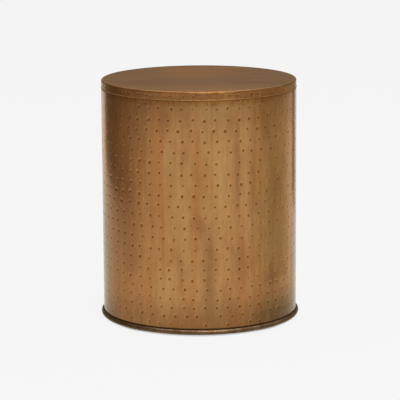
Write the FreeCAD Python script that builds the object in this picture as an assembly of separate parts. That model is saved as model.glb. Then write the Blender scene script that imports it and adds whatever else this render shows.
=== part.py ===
# Drum side table of hammered sheet metal, with a lid that lifts off.
# Millimetres, +Z up, origin on the floor in the middle of the footprint, seam of the wall at the back on +Y.
import FreeCAD
import Part

import math
import os

# Wall of the drum
table_height = 457.0
shell_radius = 185.25
shell_sheet = 1.2
foot_standoff = 3.0
seam_gap = 0.4

# Neck under the lid's skirt
neck_ramp = 2.5
reveal = 0.5

# Lid
lid_sheet = 1.2
lid_edge_radius = 3.0
skirt_height = 16.5
skirt_set_in = 0.25
skirt_bead_proud = 0.5
skirt_bead_height = 2.0
lid_slip = 0.4
board_thickness = 9.0
board_chamfer = 1.5
board_clearance = 3.0
lining_thickness = 1.0
lining_set_in = 2.0
seat_felt_thickness = 1.5
seat_felt_gap = 0.5
seat_width = 2.8

# Hoop inside the mouth, and its rivets
hoop_height = 13.0
mouth_rivet_count = 8
mouth_rivet_radius = 2.0
mouth_rivet_head_radius = 3.2
mouth_rivet_head_height = 1.2

# Strap behind the seam, and its rivets
strap_width = 28.0
strap_sheet = 1.2
strap_fit = 0.1
strap_end_gap = 6.0
seam_rivet_rows = 12
seam_rivet_columns = 2
seam_rivet_column_pitch = 14.0
seam_rivet_end = 12.0
seam_rivet_radius = 1.6
seam_rivet_head_radius = 2.6
seam_rivet_head_height = 1.2

# What both kinds of rivet share
countersink_depth = 0.9
rivet_clearance = 0.05

# Bead and plate at the foot of the wall, and the screws that hold them
bead_radius = 4.75
base_sheet = 1.2
base_bend_radius = 3.0
base_floor_height = 15.0
base_fit = 0.2
base_screw_count = 8
base_screw_radius = 1.5
base_screw_head_radius = 2.8
base_screw_head_height = 2.0
base_screw_socket_width = 2.0
base_screw_socket_depth = 1.2
base_screw_grip = 3.0
base_screw_run_out = 0.5

# Feet, and what holds them
foot_count = 4
foot_set_in = 20.0
foot_top_radius = 17.0
foot_bottom_radius = 14.0
foot_rounding = 2.0
foot_web = 4.0
foot_recess_radius = 6.5
washer_radius = 6.0
washer_thickness = 1.2
foot_screw_radius = 2.5
foot_screw_head_radius = 4.75
foot_screw_head_height = 3.5
foot_screw_socket_width = 3.0
foot_screw_socket_depth = 2.0
foot_screw_tail = 1.0
nut_width = 8.0
nut_height = 4.0

# Room round a screw in a plain hole and in a threaded one
screw_clearance = 0.2
thread_clearance = 0.05

# Places that follow from the sizes above
ORIGIN = FreeCAD.Vector(0, 0, 0)
Y_AXIS = FreeCAD.Vector(0, 1, 0)
Z_AXIS = FreeCAD.Vector(0, 0, 1)
BACK = 90.0
FULL_TURN = 360.0

shell_inside = shell_radius - shell_sheet
wall_bottom = foot_standoff
lid_underside = table_height - lid_sheet
mouth_top = lid_underside - seat_felt_thickness
skirt_outside = shell_radius - skirt_set_in
skirt_inside = skirt_outside - lid_sheet
skirt_bottom = table_height - skirt_height
neck_outside = skirt_inside - lid_slip
neck_inside = neck_outside - shell_sheet
neck_bottom = skirt_bottom - reveal
shoulder = neck_bottom - neck_ramp
lid_flat_radius = skirt_outside - lid_edge_radius
hoop_inside = lid_flat_radius - seat_width
hoop_bottom = mouth_top - hoop_height
board_radius = hoop_inside - board_clearance
board_bottom = lid_underside - board_thickness
base_floor = wall_bottom + base_floor_height
base_underside = base_floor - base_sheet
flange_outside = shell_inside - base_fit
flange_inside = flange_outside - base_sheet
strap_outside = shell_inside - strap_fit
strap_inside = strap_outside - strap_sheet
strap_bottom = base_floor + strap_end_gap
strap_top = shoulder - strap_end_gap
bead_middle = wall_bottom + bead_radius
foot_circle_radius = flange_inside - foot_set_in - foot_top_radius
foot_seat = base_underside - foot_web


def on_arc(centre, radius, degrees):
    """Point of a circle in the profile plane, from its centre, radius and angle."""
    angle = math.radians(degrees)
    return (centre[0] + radius * math.cos(angle), centre[1] + radius * math.sin(angle))


def profile(start, *steps):
    """Closed face in the XZ plane. A step is the end of a line, or the middle and the end of an arc."""

    def vector(point):
        return FreeCAD.Vector(point[0], 0, point[1])

    edges = []
    here = start
    for step in steps + (start,):
        if isinstance(step[0], tuple):
            middle, end = step
            edges.append(Part.Arc(vector(here), vector(middle), vector(end)).toShape())
        else:
            end = step
            edges.append(Part.LineSegment(vector(here), vector(end)).toShape())
        here = end
    return Part.Face(Part.Wire(edges))


def turned(start, *steps):
    """Solid turned about Z from a profile."""
    return profile(start, *steps).revolve(ORIGIN, Z_AXIS, FULL_TURN)


def ring(outside, inside, bottom, top):
    """Plain ring about Z."""
    return turned((inside, bottom), (outside, bottom), (outside, top), (inside, top))


def cylinder(radius, bottom, top):
    """Plain cylinder about Z."""
    return Part.makeCylinder(radius, top - bottom, FreeCAD.Vector(0, 0, bottom))


def hexagon(width, bottom, top):
    """Hexagonal bar about Z, from its width across the flats."""
    corner = width / math.sqrt(3)
    points = [FreeCAD.Vector(*on_arc((0, 0), corner, 60 * side), bottom) for side in range(7)]
    return Part.Face(Part.makePolygon(points)).extrude(FreeCAD.Vector(0, 0, top - bottom))


def spread(count, offset=0.0):
    """Angles of a number of pieces spaced evenly round the drum."""
    return [offset + FULL_TURN * index / count for index in range(count)]


def radial(shape, angle, height):
    """Copy of a shape made along Z, laid out along a radius of the drum at an angle and a height."""
    placed = shape.copy()
    placed.rotate(ORIGIN, Y_AXIS, 90)
    placed.rotate(ORIGIN, Z_AXIS, angle)
    placed.translate(FreeCAD.Vector(0, 0, height))
    return placed


def seat_depth(surface, radius):
    """Distance from the drum's axis at which a flat head's rim meets a hollow surface."""
    return math.sqrt(surface ** 2 - radius ** 2)


# Lid

def lid_cap():
    """Spun top with a rounded edge, a turned-down skirt and a small bead along the skirt's lower edge."""
    edge_centre = (lid_flat_radius, table_height - lid_edge_radius)
    inner_radius = lid_edge_radius - lid_sheet
    bead_top = (skirt_outside, skirt_bottom + skirt_bead_height)
    bead_side = (skirt_outside + skirt_bead_proud, skirt_bottom + skirt_bead_height / 2)
    bead_bottom = (skirt_outside, skirt_bottom)
    return turned(
        (0, table_height),
        on_arc(edge_centre, lid_edge_radius, 90),
        (on_arc(edge_centre, lid_edge_radius, 45), on_arc(edge_centre, lid_edge_radius, 0)),
        bead_top,
        (bead_side, bead_bottom),
        (skirt_inside, skirt_bottom),
        on_arc(edge_centre, inner_radius, 0),
        (on_arc(edge_centre, inner_radius, 45), on_arc(edge_centre, inner_radius, 90)),
        (0, lid_underside),
    )


def lid_board():
    """Board glued under the top, chamfered where it enters the mouth."""
    return turned(
        (0, board_bottom),
        (board_radius - board_chamfer, board_bottom),
        (board_radius, board_bottom + board_chamfer),
        (board_radius, lid_underside),
        (0, lid_underside),
    )


def lid_lining():
    """Felt over the underside of the board."""
    radius = board_radius - board_chamfer - lining_set_in
    return cylinder(radius, board_bottom - lining_thickness, board_bottom)


def lid_seat_felt():
    """Felt ring under the flat of the top, which stands on the hoop in the mouth."""
    return ring(lid_flat_radius, board_radius + seat_felt_gap, mouth_top, lid_underside)


# Rivets

def rivet(inside, outside, radius, head_radius, head_height):
    """Rivet along Z, domed at the inside of a wall and flush with its outside."""
    seat = seat_depth(inside, head_radius)
    ball = (head_radius ** 2 + head_height ** 2) / (2 * head_height)
    half_angle = math.degrees(math.asin(head_radius / ball)) / 2
    ball_centre = (0, seat - head_height + ball)
    blank = turned(
        (0, seat - head_height),
        (on_arc(ball_centre, ball, half_angle - 90), (head_radius, seat)),
        (radius, seat),
        (radius, outside - countersink_depth),
        (head_radius, outside),
        (0, outside),
    )
    blank.rotate(ORIGIN, Y_AXIS, 90)
    flush = blank.common(cylinder(outside, -head_radius, head_radius))
    flush.rotate(ORIGIN, Y_AXIS, -90)
    return flush.Solids[0]


def rivet_hole(inside, outside, radius, head_radius):
    """Countersunk hole for a rivet, with its clearance, past both faces of the wall."""
    room = radius + rivet_clearance
    wide = head_radius + rivet_clearance
    return turned(
        (0, inside - shell_sheet),
        (room, inside - shell_sheet),
        (room, outside - countersink_depth - rivet_clearance),
        (wide, outside - rivet_clearance),
        (wide, outside + shell_sheet),
        (0, outside + shell_sheet),
    )


def mouth_places():
    """Angle and height of each rivet of the mouth's hoop."""
    height = hoop_bottom + hoop_height / 2
    return [(angle, height) for angle in spread(mouth_rivet_count, FULL_TURN / mouth_rivet_count / 2)]


def seam_places():
    """Angle and height of each rivet of the seam's strap."""
    pitch = (strap_top - strap_bottom - 2 * seam_rivet_end) / (seam_rivet_rows - 1)
    heights = [strap_bottom + seam_rivet_end + row * pitch for row in range(seam_rivet_rows)]
    middle = (seam_rivet_columns - 1) / 2
    steps = [(column - middle) * seam_rivet_column_pitch for column in range(seam_rivet_columns)]
    angles = [BACK + math.degrees(step / shell_radius) for step in steps]
    return [(angle, height) for angle in angles for height in heights]


def mouth_rivet_holes():
    """Holes of the mouth's rivets, through the hoop and the neck."""
    hole = rivet_hole(hoop_inside, neck_outside, mouth_rivet_radius, mouth_rivet_head_radius)
    return [radial(hole, angle, height) for angle, height in mouth_places()]


def seam_rivet_holes():
    """Holes of the seam's rivets, through the strap and the wall."""
    hole = rivet_hole(strap_inside, shell_radius, seam_rivet_radius, seam_rivet_head_radius)
    return [radial(hole, angle, height) for angle, height in seam_places()]


def mouth_rivets():
    """Rivets that hold the hoop in the neck."""
    one = rivet(
        hoop_inside, neck_outside, mouth_rivet_radius, mouth_rivet_head_radius, mouth_rivet_head_height
    )
    return Part.makeCompound([radial(one, angle, height) for angle, height in mouth_places()])


def seam_rivets():
    """Rivets that hold the strap behind the seam."""
    one = rivet(strap_inside, shell_radius, seam_rivet_radius, seam_rivet_head_radius, seam_rivet_head_height)
    return Part.makeCompound([radial(one, angle, height) for angle, height in seam_places()])


# Screws of the foot

def screw(radius, length, head_radius, head_height, socket_width, socket_depth):
    """Screw along Z, with its head below zero and a hexagonal socket in the head."""
    blank = turned(
        (0, -head_height),
        (head_radius, -head_height),
        (head_radius, 0),
        (radius, 0),
        (radius, length),
        (0, length),
    )
    return blank.cut(hexagon(socket_width, -head_height, socket_depth - head_height))


def base_screw_holes(room, depth):
    """Holes along the base screws, out to a distance from the drum's axis."""
    hole = cylinder(base_screw_radius + room, flange_inside - base_sheet, depth)
    return [radial(hole, angle, bead_middle) for angle in spread(base_screw_count)]


def base_screws():
    """Screws from inside the plate's flange, through the wall, into the bead."""
    seat = seat_depth(flange_inside, base_screw_head_radius)
    one = screw(
        base_screw_radius,
        shell_radius + base_screw_grip - seat,
        base_screw_head_radius,
        base_screw_head_height,
        base_screw_socket_width,
        base_screw_socket_depth,
    )
    one.translate(FreeCAD.Vector(0, 0, seat))
    return Part.makeCompound([radial(one, angle, bead_middle) for angle in spread(base_screw_count)])


# Wall and what stiffens it

def drum_shell():
    """Rolled wall with a necked-in mouth, a butt seam at the back and holes for rivets and screws."""
    ramp_angle = math.atan2(shell_radius - neck_outside, neck_ramp)
    bend_shift = shell_sheet * math.tan(ramp_angle / 2)
    wall = turned(
        (shell_radius, wall_bottom),
        (shell_radius, shoulder),
        (neck_outside, neck_bottom),
        (neck_outside, mouth_top),
        (neck_inside, mouth_top),
        (neck_inside, neck_bottom - bend_shift),
        (shell_inside, shoulder - bend_shift),
        (shell_inside, wall_bottom),
    )
    seam = Part.makeBox(
        seam_gap, shell_radius, table_height, FreeCAD.Vector(-seam_gap / 2, 0, 0)
    )
    through = shell_radius + shell_sheet
    screw_holes = base_screw_holes(screw_clearance, through)
    return wall.cut([seam] + mouth_rivet_holes() + seam_rivet_holes() + screw_holes)


def seam_strap():
    """Strap against the inside of the wall, behind the seam."""
    angle = math.degrees(strap_width / strap_outside)
    height = strap_top - strap_bottom
    bottom = FreeCAD.Vector(0, 0, strap_bottom)
    outer = Part.makeCylinder(strap_outside, height, bottom, Z_AXIS, angle)
    strap = outer.cut(cylinder(strap_inside, strap_bottom, strap_top))
    strap.rotate(ORIGIN, Z_AXIS, BACK - angle / 2)
    return strap.cut(seam_rivet_holes())


def mouth_hoop():
    """Flat bar hoop inside the neck, level with the edge of the mouth."""
    return ring(neck_inside, hoop_inside, hoop_bottom, mouth_top).cut(mouth_rivet_holes())


def base_bead():
    """Half-round bar round the foot of the wall, tapped for the base screws."""
    bar = turned(
        (shell_radius, wall_bottom),
        ((shell_radius + bead_radius, bead_middle), (shell_radius, wall_bottom + 2 * bead_radius)),
    )
    depth = shell_radius + base_screw_grip + base_screw_run_out
    return bar.cut(base_screw_holes(thread_clearance, depth))


def base_plate():
    """Plate that closes the foot, with a flange turned down inside the wall."""
    bend_centre = (flange_outside - base_bend_radius, base_floor - base_bend_radius)
    inner_radius = base_bend_radius - base_sheet
    plate = turned(
        (0, base_floor),
        on_arc(bend_centre, base_bend_radius, 90),
        (on_arc(bend_centre, base_bend_radius, 45), on_arc(bend_centre, base_bend_radius, 0)),
        (flange_outside, wall_bottom),
        (flange_inside, wall_bottom),
        on_arc(bend_centre, inner_radius, 0),
        (on_arc(bend_centre, inner_radius, 45), on_arc(bend_centre, inner_radius, 90)),
        (0, base_underside),
    )
    hole = cylinder(foot_screw_radius + screw_clearance, foot_seat, base_floor + base_sheet)
    return plate.cut(at_feet(hole) + base_screw_holes(screw_clearance, shell_radius))


# Feet

def at_feet(shape):
    """Copies of a shape made about Z, one at each foot."""
    copies = []
    for angle in spread(foot_count, FULL_TURN / foot_count / 2):
        placed = shape.copy()
        placed.translate(FreeCAD.Vector(foot_circle_radius, 0, 0))
        placed.rotate(ORIGIN, Z_AXIS, angle)
        copies.append(placed)
    return copies


def foot():
    """Tapered rubber foot, recessed from below for its washer and screw head."""
    hole_radius = foot_screw_radius + screw_clearance
    blank = turned(
        (foot_recess_radius, 0),
        (foot_bottom_radius, 0),
        (foot_top_radius, base_underside),
        (hole_radius, base_underside),
        (hole_radius, foot_seat),
        (foot_recess_radius, foot_seat),
    )
    outer_edge = [edge for edge in blank.Edges if edge.BoundBox.ZMax < foot_rounding
                  and edge.BoundBox.XMax > foot_recess_radius + screw_clearance]
    return blank.makeFillet(foot_rounding, outer_edge)


def foot_washers():
    """Washers between the rubber and the screw heads."""
    one = ring(washer_radius, foot_screw_radius + screw_clearance, foot_seat - washer_thickness, foot_seat)
    return Part.makeCompound(at_feet(one))


def foot_screws():
    """Screws up through the washers, the feet and the plate."""
    head_seat = foot_seat - washer_thickness
    one = screw(
        foot_screw_radius,
        base_floor + nut_height + foot_screw_tail - head_seat,
        foot_screw_head_radius,
        foot_screw_head_height,
        foot_screw_socket_width,
        foot_screw_socket_depth,
    )
    one.translate(FreeCAD.Vector(0, 0, head_seat))
    return Part.makeCompound(at_feet(one))


def foot_nuts():
    """Nuts on the foot screws, on top of the plate."""
    blank = hexagon(nut_width, base_floor, base_floor + nut_height)
    bore = cylinder(foot_screw_radius + thread_clearance, base_floor, base_floor + nut_height)
    return Part.makeCompound(at_feet(blank.cut(bore)))


def main():
    """Make every piece and write each to its own file."""
    pieces = {
        "lid_cap": lid_cap(),
        "lid_board": lid_board(),
        "lid_lining": lid_lining(),
        "lid_seat_felt": lid_seat_felt(),
        "drum_shell": drum_shell(),
        "seam_strap": seam_strap(),
        "seam_rivets": seam_rivets(),
        "mouth_hoop": mouth_hoop(),
        "mouth_rivets": mouth_rivets(),
        "base_bead": base_bead(),
        "base_plate": base_plate(),
        "base_screws": base_screws(),
        "foot_washers": foot_washers(),
        "foot_screws": foot_screws(),
        "foot_nuts": foot_nuts(),
    }
    for number, shape in enumerate(at_feet(foot()), start=1):
        pieces[f"foot_{number}"] = shape
    os.makedirs("parts", exist_ok=True)
    for name, shape in pieces.items():
        shape.exportStep(f"parts/{name}.step")


main()
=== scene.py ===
"""Drum side table of hammered, antiqued brass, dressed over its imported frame."""

import math
import random
from collections import namedtuple
from functools import partialmethod, reduce

import bmesh
import bpy
from bpy.props import FloatProperty, FloatVectorProperty, IntProperty, PointerProperty
from bpy.types import Operator, Panel, PropertyGroup
from mathutils import Euler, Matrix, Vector, noise


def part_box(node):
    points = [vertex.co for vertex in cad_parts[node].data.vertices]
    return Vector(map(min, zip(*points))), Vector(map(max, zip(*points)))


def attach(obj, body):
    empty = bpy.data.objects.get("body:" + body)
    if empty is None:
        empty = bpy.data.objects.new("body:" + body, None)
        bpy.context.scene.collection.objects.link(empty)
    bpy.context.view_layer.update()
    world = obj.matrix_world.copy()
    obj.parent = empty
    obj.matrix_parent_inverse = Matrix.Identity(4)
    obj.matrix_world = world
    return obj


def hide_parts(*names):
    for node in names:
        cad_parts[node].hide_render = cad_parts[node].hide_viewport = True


bl_info = {
    "name": "Drum Side Table",
    "version": (1, 0, 0),
    "blender": (4, 5, 0),
    "location": "View3D > Sidebar > Drum Table",
    "description": "Makes the hammered wall, spun lid, bead, felts and finishes of a drum side table",
    "category": "Add Mesh",
}

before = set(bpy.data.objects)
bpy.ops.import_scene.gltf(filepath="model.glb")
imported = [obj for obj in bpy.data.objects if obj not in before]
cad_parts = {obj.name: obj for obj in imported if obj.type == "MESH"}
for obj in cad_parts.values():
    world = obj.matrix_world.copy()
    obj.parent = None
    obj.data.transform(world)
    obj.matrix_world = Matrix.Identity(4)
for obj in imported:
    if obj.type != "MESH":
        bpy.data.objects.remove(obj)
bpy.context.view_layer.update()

MM = 0.001
FULL_TURN = 2.0 * math.pi

# Points nearer than the first are merged, and points nearer than the second count as in one place
WELD = 0.001 * MM
CLOSE = 0.01 * MM

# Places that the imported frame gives
WALL_LOW, WALL_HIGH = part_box("drum_shell")
LID_LOW, LID_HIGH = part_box("lid_cap")
_, HOOP_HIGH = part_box("mouth_hoop")
BEAD_LOW, BEAD_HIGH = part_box("base_bead")
LINING_LOW, LINING_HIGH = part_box("lid_lining")
SEAT_LOW, SEAT_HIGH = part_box("lid_seat_felt")


# Settings


def a_length(name, description, default):
    """A size in metres."""
    return FloatProperty(name=name, description=description, default=default, unit="LENGTH")


def an_angle(name, description, degrees):
    """An angle, written in degrees."""
    default = math.radians(degrees)
    return FloatProperty(name=name, description=description, default=default, subtype="ANGLE")


def a_share(name, description, default, most=1.0):
    """A share of a whole."""
    return FloatProperty(
        name=name, description=description, default=default, min=0.0, max=most, subtype="FACTOR")


def a_count(name, description, default, least=0):
    """A whole number."""
    return IntProperty(name=name, description=description, default=default, min=least)


def a_colour(name, description, default):
    """A colour in linear light."""
    return FloatVectorProperty(
        name=name, description=description, default=default, subtype="COLOR", size=3)


class WallSettings(PropertyGroup):
    """Sizes of the dimpled wall."""

    sheet: a_length("Sheet", "Thickness of the brass sheet", 1.2 * MM)
    seam_gap: a_length("Seam gap", "Gap of the butt seam at the back", 0.4 * MM)
    shoulder_drop: a_length("Shoulder drop", "From the lid's lower edge down to the shoulder", 0.7 * MM)
    neck_drop: a_length("Neck drop", "From the lid's lower edge down to the neck", 0.2 * MM)
    rows: a_count("Rows", "Rows of dimples", 22, least=2)
    round_count: a_count("Dimples round", "Places for a dimple in one row", 54, least=12)
    lowest_row: a_length("Lowest row", "Height of the lowest row of dimples", 21.4 * MM)
    lower_pitch: a_length("Lower pitch", "Step between the two lowest rows", 15.6 * MM)
    upper_pitch: a_length("Upper pitch", "Step between the rows higher up", 20.1 * MM)
    settling_rows: a_count("Settling rows", "Rows over which the pitch grows", 7, least=1)
    dimple_radius: a_length("Dimple radius", "Radius of a dimple at its lip", 3.0 * MM)
    dimple_depth: a_length("Dimple depth", "Depth of a dimple", 0.55 * MM)
    slip_along: a_length("Slip along", "How far a dimple strays along its row", 2.6 * MM)
    slip_up: a_length("Slip up", "How far a dimple strays up or down", 1.3 * MM)
    row_shift: a_share(
        "Row shift", "How far a row is turned against its neighbours, in steps along it", 0.38, most=0.5)
    row_jitter: a_length("Row jitter", "How far a whole row strays up or down", 1.3 * MM)
    row_sway: a_length("Row sway", "How far a row wanders up and down on its way round", 1.6 * MM)
    row_lift: a_length("Row lift", "How far the lowest rows rise on the left", 7.0 * MM)
    lift_height: a_length("Lift height", "Height from which the rows rise no more", 0.16)
    worn_turn: an_angle("Worn turn", "Where round the wall the dimples are most worn", -60.0)
    worn_spread: an_angle("Worn spread", "How far round the wall the wear reaches", 20.0)
    worn_from: a_length("Worn from", "Height above which the dimples are worn", 0.26)
    worn_share: a_share("Worn share", "How much of a dimple the wear takes away", 0.45)
    unevenness: a_length("Unevenness", "Depth of the slow waves that hammering leaves", 0.22 * MM)
    seed: a_count("Seed", "Start of the random draws", 41)


class LidSettings(PropertyGroup):
    """Sizes of the lid's sheet and of the felt ring under it."""

    sheet: a_length("Sheet", "Thickness of the lid's sheet", 1.2 * MM)
    edge_radius: a_length("Edge radius", "Rounding of the top edge", 3.0 * MM)
    edge_band: a_length("Edge band", "Width of the rubbed band inside the rounded edge", 1.5 * MM)
    bead_proud: a_length("Bead proud", "How far the skirt's lower bead stands out", 0.5 * MM)
    bead_height: a_length("Bead height", "Height of the skirt's lower bead", 2.0 * MM)
    dent_radius: a_length("Dent radius", "Radius of a dent in the skirt", 2.4 * MM)
    dent_depth: a_length("Dent depth", "Depth of a dent in the skirt", 0.6 * MM)
    dent_share: a_share("Dent share", "Share of places round the skirt that hold a dent", 0.75)
    unevenness: a_length("Unevenness", "Depth of the slow waves in the top", 0.12 * MM)
    seat_reach: a_length("Seat reach", "How far the felt ring reaches in from the hoop", 5.5 * MM)
    seed: a_count("Seed", "Start of the random draws", 7)


class FinishSettings(PropertyGroup):
    """Colours of the brass and of the inner pieces."""

    golden: a_colour("Golden brass", "Rubbed brass of the wall", (0.48, 0.262, 0.097))
    reddish: a_colour("Reddish brass", "Warm streaks and the warm flank of the wall", (0.41, 0.18, 0.061))
    patina: a_colour("Patina", "Dark patina near the foot", (0.145, 0.08, 0.028))
    brown: a_colour("Brown", "Brown blotches and stains in the wall", (0.28, 0.125, 0.046))
    olive: a_colour("Olive", "Olive brown stains on the wall's flanks", (0.235, 0.135, 0.054))
    dimple: a_colour("Dimple", "Tint of the dark patina in the dimples", (0.7, 0.49, 0.145))
    # Crease: dirt in the specks and seam, dirt and painted shade in the creases, painted shade on the
    # bead's underside
    crease: a_colour("Crease", "Dirt in the specks and seam, dirt and painted shade in the creases, painted shade under the bead", (0.06, 0.026, 0.008))
    # Painted shade: a red-brown darkening of the wall just under the lid's skirt
    under_lid_shade: a_colour("Under-lid shade", "Tint of the painted shade under the lid", (0.85, 0.73, 0.58))
    # Painted highlight: a bright colour on one side of each dimple's and dent's lip
    lip_highlight: a_colour("Lip highlight", "Painted highlight on one side of the dimples' and dents' lips", (0.72, 0.5, 0.25))
    rubbed: a_colour("Rubbed", "Brass rubbed bare along the lid's edges", (0.66, 0.37, 0.15))
    top: a_colour("Top", "Browned brass of the lid's top", (0.325, 0.17, 0.079))
    top_warm: a_colour("Warm top", "Redder clouds in the lid's top", (0.36, 0.18, 0.08))
    # Painted highlight: a lighter front of the lid's top
    top_front_highlight: a_colour("Top's front highlight", "Painted highlight on the front of the lid's top", (0.52, 0.247, 0.105))
    top_bloom: a_colour("Top's bloom", "Red bloom at the back of the lid's top", (0.5, 0.205, 0.08))
    skirt: a_colour("Skirt", "Browned brass of the lid's skirt", (0.275, 0.118, 0.039))
    skirt_worn: a_colour("Worn skirt", "Rubbed patches of the lid's skirt", (0.36, 0.164, 0.053))
    dent: a_colour("Dent", "Tint of the dark patina in the skirt's dents", (0.42, 0.28, 0.15))
    grime: a_colour("Grime", "Specks of grime on the lid's skirt", (0.18, 0.062, 0.01))
    bead: a_colour("Bead", "Greyed brass of the bead", (0.31, 0.17, 0.082))
    bead_worn: a_colour("Worn bead", "Rubbed patches of the bead", (0.47, 0.33, 0.21))
    inner_brass: a_colour("Inner brass", "Dulled brass of the strap and rivets", (0.38, 0.2, 0.075))
    raw_brass: a_colour("Raw brass", "Dull raw brass of the wall's inside", (0.42, 0.25, 0.1))
    hoop: a_colour("Hoop", "Darkened steel of the mouth's hoop", (0.3, 0.28, 0.25))
    plate: a_colour("Plate", "Paint of the base plate", (0.05, 0.045, 0.04))
    zinc: a_colour("Zinc", "Plated steel of the screws, washers and nuts", (0.5, 0.49, 0.46))
    board: a_colour("Board", "Sanded fibreboard under the top", (0.42, 0.3, 0.18))
    felt: a_colour("Felt", "Pressed felt under the lid", (0.06, 0.045, 0.035))
    rubber: a_colour("Rubber", "Rubber of the feet", (0.02, 0.02, 0.02))


class StudioSettings(PropertyGroup):
    """The camera and the floor."""

    camera_distance: a_length("Camera distance", "From the table's axis to the camera", 4.071)
    camera_height: a_length("Camera height", "Height of the camera above the floor", 1.0226)
    camera_pitch: an_angle("Camera pitch", "How far the camera looks down", 11.137)
    camera_yaw: an_angle("Camera yaw", "How far the camera looks to the left", -0.0152)
    camera_roll: an_angle("Camera roll", "How far the camera leans", -0.327)
    sensor: FloatProperty(name="Sensor", description="Width of the sensor", default=36.0, unit="CAMERA")
    lens: FloatProperty(name="Lens", description="Focal length", default=194.8, unit="CAMERA")
    floor_colour: a_colour("Floor", "Pale paper of the floor", (0.9, 0.9, 0.9))


# Mesh helpers

# A ring of a dimple: reach in radii, share of the depth, tone and share of the painted highlight
Ring = namedtuple("Ring", "reach sink tone burr")
Dimple = namedtuple("Dimple", "cell centre radius depth tone")

# The side of a lip that carries a painted highlight, along the sheet and up it
HIGHLIGHT_SIDE = Vector((-0.6, 0.8, 0.0))

# Width of a new ring, before its corners are set
FIRST_INSET = 0.1 * MM


def held(value):
    """A value held between 0 and 1."""
    return min(1.0, max(0.0, value))


def ripple(vert, waves):
    """Slow waves from 0 to 1; a wave is its scale, its layer of the noise and its share."""
    x, y, _ = vert.co
    return sum((share * noise.noise((x * scale, y * scale, layer)) for scale, layer, share in waves), 0.5)


def linked_object(name, bm, material):
    """Turns a bmesh into an object of the scene."""
    mesh = bpy.data.meshes.new(name)
    bm.to_mesh(mesh)
    bm.free()
    mesh.materials.append(material)
    piece = bpy.data.objects.new(name, mesh)
    bpy.context.scene.collection.objects.link(piece)
    return piece


def finished_piece(name, bm, body, node, material, sharp=math.radians(40.0)):
    """Turns a bmesh into a smooth piece that rides on a body and stands for its node."""
    bmesh.ops.recalc_face_normals(bm, faces=bm.faces)
    piece = linked_object(name, bm, material)
    piece.data.shade_smooth()
    piece.data.set_sharp_from_angle(angle=sharp)
    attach(piece, body)
    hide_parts(node)
    return piece


def add_marks(bm, *names):
    """Adds the attributes that a finish reads."""
    for name in names:
        bm.verts.layers.float.new(name)


def lay_cells(bm, columns, rows, place):
    """Adds a flat sheet of twelve-cornered cells, x along the turn and y up, as (row, column, cell)."""
    corners = bmesh.ops.create_grid(bm, x_segments=columns, y_segments=rows, size=0.5)["verts"]
    cells = []
    for face in {face for corner in corners for face in corner.link_faces}:
        middle = face.calc_center_median()
        row = math.floor((middle.y + 0.5) * rows)
        column = math.floor((middle.x + 0.5) * columns)
        cells.append((row, column, face))
    cells.sort(key=lambda cell: cell[:2])
    for corner in corners:
        column = round((corner.co.x + 0.5) * columns)
        row = round((corner.co.y + 0.5) * rows)
        corner.co = place(column, row)
    edges = dict.fromkeys(edge for corner in corners for edge in corner.link_edges)
    bmesh.ops.subdivide_edges(bm, edges=list(edges), cuts=2)
    return cells


def sink_dimples(bm, dimples, rings):
    """Insets each dimple's cell ring by ring, and marks its tone and a painted highlight on one side of
    its lip.
    """
    punch = bm.verts.layers.float["punch"]
    lip = bm.verts.layers.float["lip"]
    cells = [dimple.cell for dimple in dimples]
    for number, ring in enumerate(rings):
        bmesh.ops.inset_individual(bm, faces=cells, thickness=FIRST_INSET)
        for dimple in dimples:
            hub = dimple.cell.calc_center_median() if number == 0 else dimple.centre
            for corner in dimple.cell.verts:
                away = corner.co - hub
                away.z = 0.0
                away.normalize()
                corner.co = dimple.centre + away * dimple.radius * ring.reach
                corner.co.z -= dimple.depth * ring.sink
                corner[punch] = ring.tone * dimple.tone
                # Painted highlight on one side of the lip
                corner[lip] = ring.burr * dimple.tone * max(0.0, away.dot(HIGHLIGHT_SIDE))
    bottoms = bmesh.ops.poke(bm, faces=cells)["verts"]
    for bottom, dimple in zip(bottoms, dimples):
        bottom.co = dimple.centre
        bottom.co.z -= dimple.depth
        bottom[punch] = dimple.tone


def fill_cells(bm, cells, plans, rings, out=0.0):
    """Sinks the planned dimples into their cells and fans out the cells that hold none."""
    dimples = []
    plain = []
    for row, column, cell in cells:
        if (row, column) not in plans:
            plain.append(cell)
            continue
        along, up, radius, depth, tone = plans[row, column]
        centre = cell.calc_center_median() + Vector((along, up, 0.0))
        centre.z = out
        dimples.append(Dimple(cell, centre, radius, depth, tone))
    bmesh.ops.poke(bm, faces=plain)
    sink_dimples(bm, dimples, rings)


def edge_row(bm, height):
    """The open edges of a flat sheet that lie at one height on its face."""
    def lies_there(vert):
        return abs(vert.co.y - height) < CLOSE and abs(vert.co.z) < CLOSE
    return [edge for edge in bm.edges if edge.is_boundary and all(map(lies_there, edge.verts))]


def grow(bm, edges, path):
    """Extrudes a row of edges along a path of (out, height) steps."""
    for out, height in path:
        grown = bmesh.ops.extrude_edge_only(bm, edges=edges)["geom"]
        verts = {item for item in grown if isinstance(item, bmesh.types.BMVert)}
        for vert in verts:
            vert.co.y = height
            vert.co.z = out
        edges = [
            item for item in grown
            if isinstance(item, bmesh.types.BMEdge) and all(vert in verts for vert in item.verts)
        ]


def roll_up(bm, radius):
    """Rolls a flat sheet about the axis: x runs round from the front, y is up and z is outwards."""
    for vert in bm.verts:
        angle = vert.co.x / radius
        reach = radius + vert.co.z
        vert.co = (reach * math.sin(angle), -reach * math.cos(angle), vert.co.y)


def quarter_round(radius, out, height, steps):
    """Points of a rounded edge, from a wall at (out, height) up and inwards to the top."""
    for step in range(1, steps + 1):
        angle = 0.5 * math.pi * step / steps
        yield out - radius * (1.0 - math.cos(angle)), height + radius * math.sin(angle)


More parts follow.
